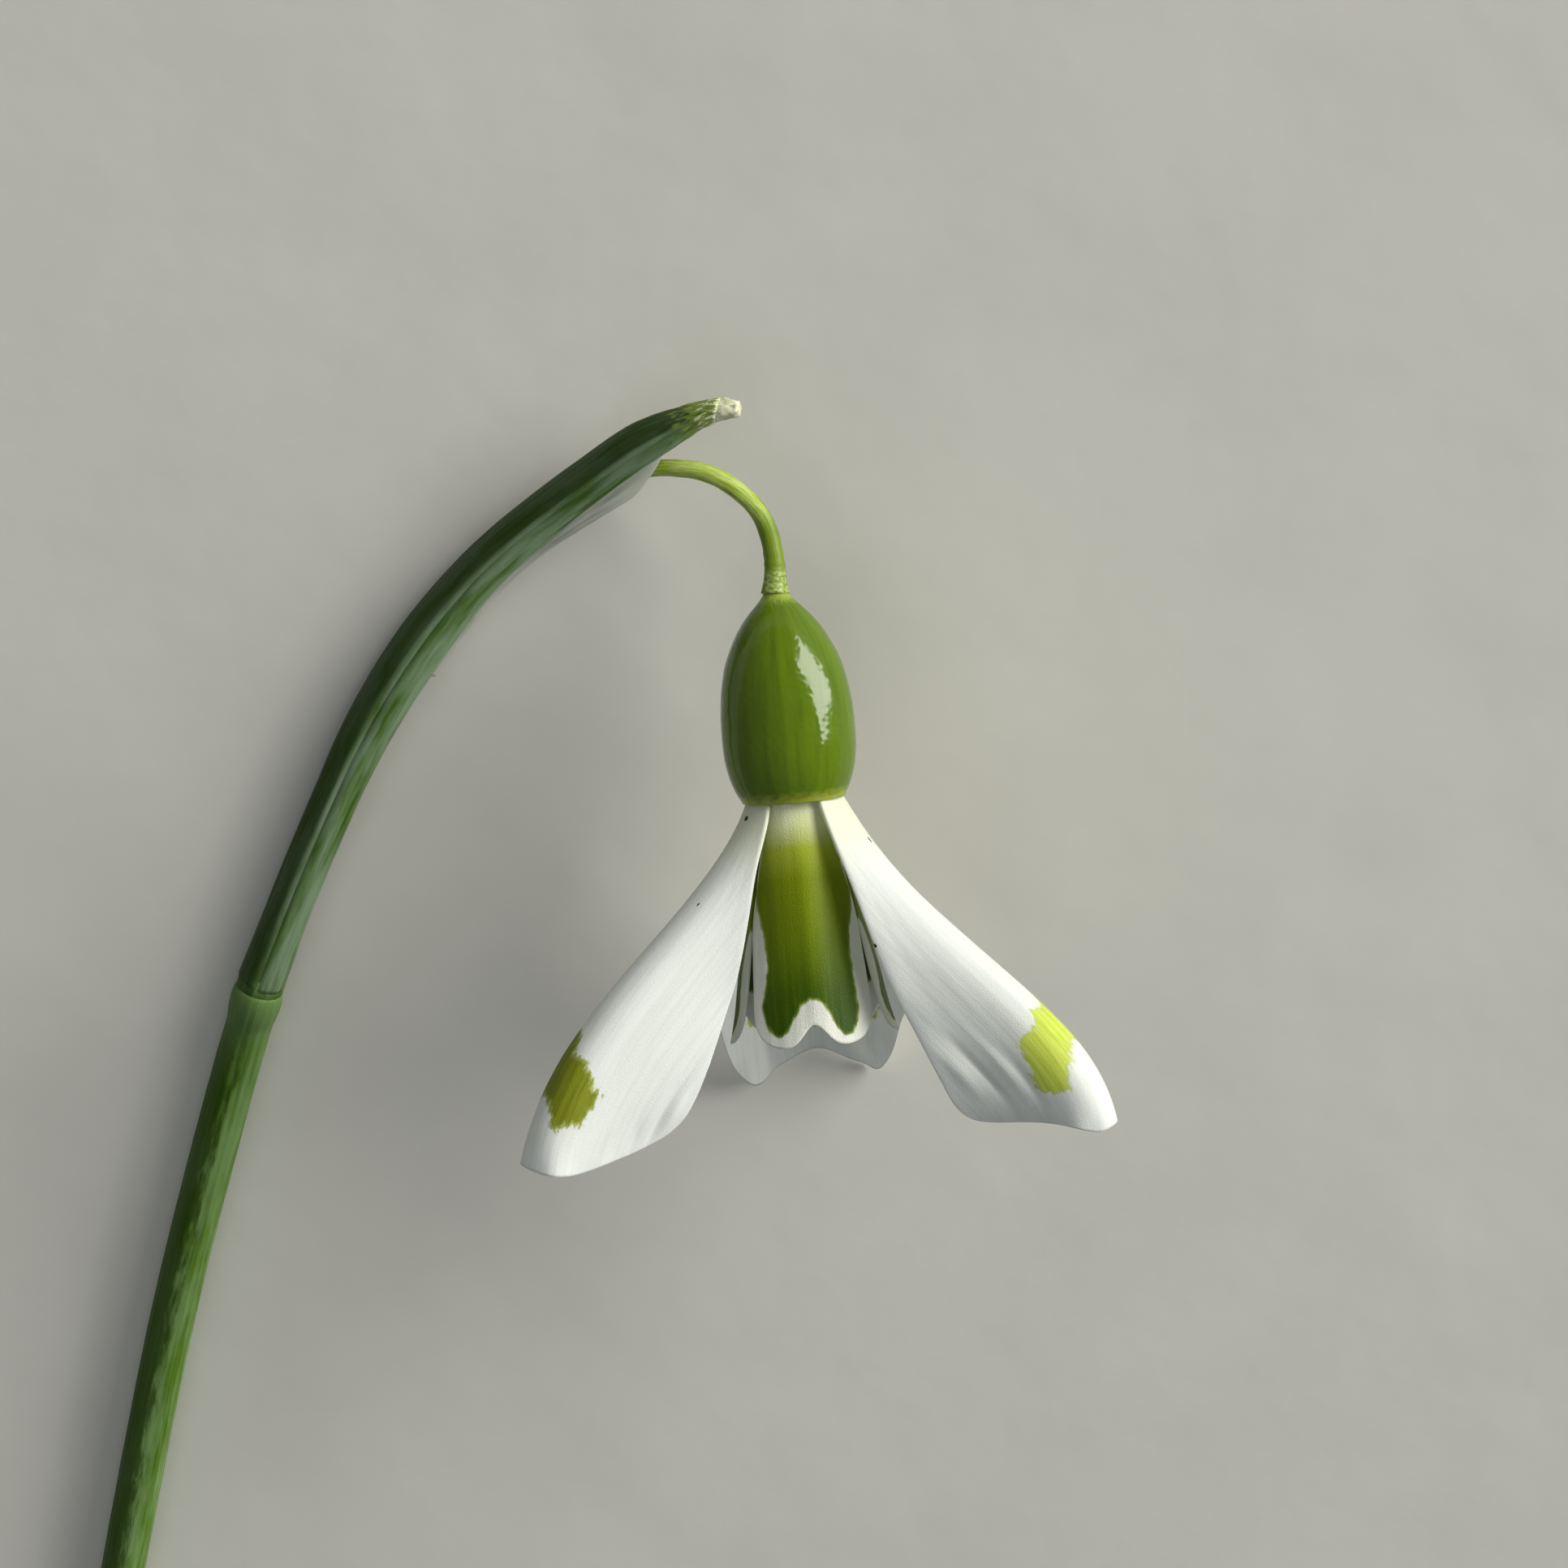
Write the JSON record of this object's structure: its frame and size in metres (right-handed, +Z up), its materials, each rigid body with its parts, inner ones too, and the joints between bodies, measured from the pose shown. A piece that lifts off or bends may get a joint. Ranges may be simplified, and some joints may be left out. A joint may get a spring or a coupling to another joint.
{
  "type": "snowdrop flower",
  "caption": "Picked snowdrop lying down: curved stem with a node, hooded spathe, thread-like pedicel, oval ovary and a nodding bell of white tepals marked with green.",
  "frame": {"origin": "centre of the flower's bounding box in plan, on the surface it lies on", "axes": "+Z up from the surface, +Y along the stem from its cut end towards the spathe tip, +X towards the side where the flower hangs"},
  "size_m": [0.0654, 0.099, 0.025],
  "materials": {
    "scape": "satin green stem",
    "spathe": "glaucous green with a waxy bloom",
    "membrane": "thin papery translucent white",
    "pedicel": "smooth yellow-green",
    "ovary": "glossy green",
    "outer_tepal": "soft satin white with a green mark near the tip",
    "inner_tepal": "satin green with a white margin",
    "anther": "matte orange-yellow",
    "style": "smooth pale green-white"
  },
  "bodies": {
    "root": {"scape": "scape", "spathe_front_valve": "spathe", "spathe_back_valve": "spathe", "spathe_membrane": "membrane", "pedicel": "pedicel", "ovary": "ovary", "outer_tepal_left": "outer_tepal", "outer_tepal_right": "outer_tepal", "outer_tepal_back": "outer_tepal", "inner_tepal_front": "inner_tepal", "inner_tepal_left": "inner_tepal", "inner_tepal_right": "inner_tepal", "stamen_1": "anther", "stamen_2": "anther", "stamen_3": "anther", "stamen_4": "anther", "stamen_5": "anther", "stamen_6": "anther", "style": "style"}
  },
  "joints": []
}
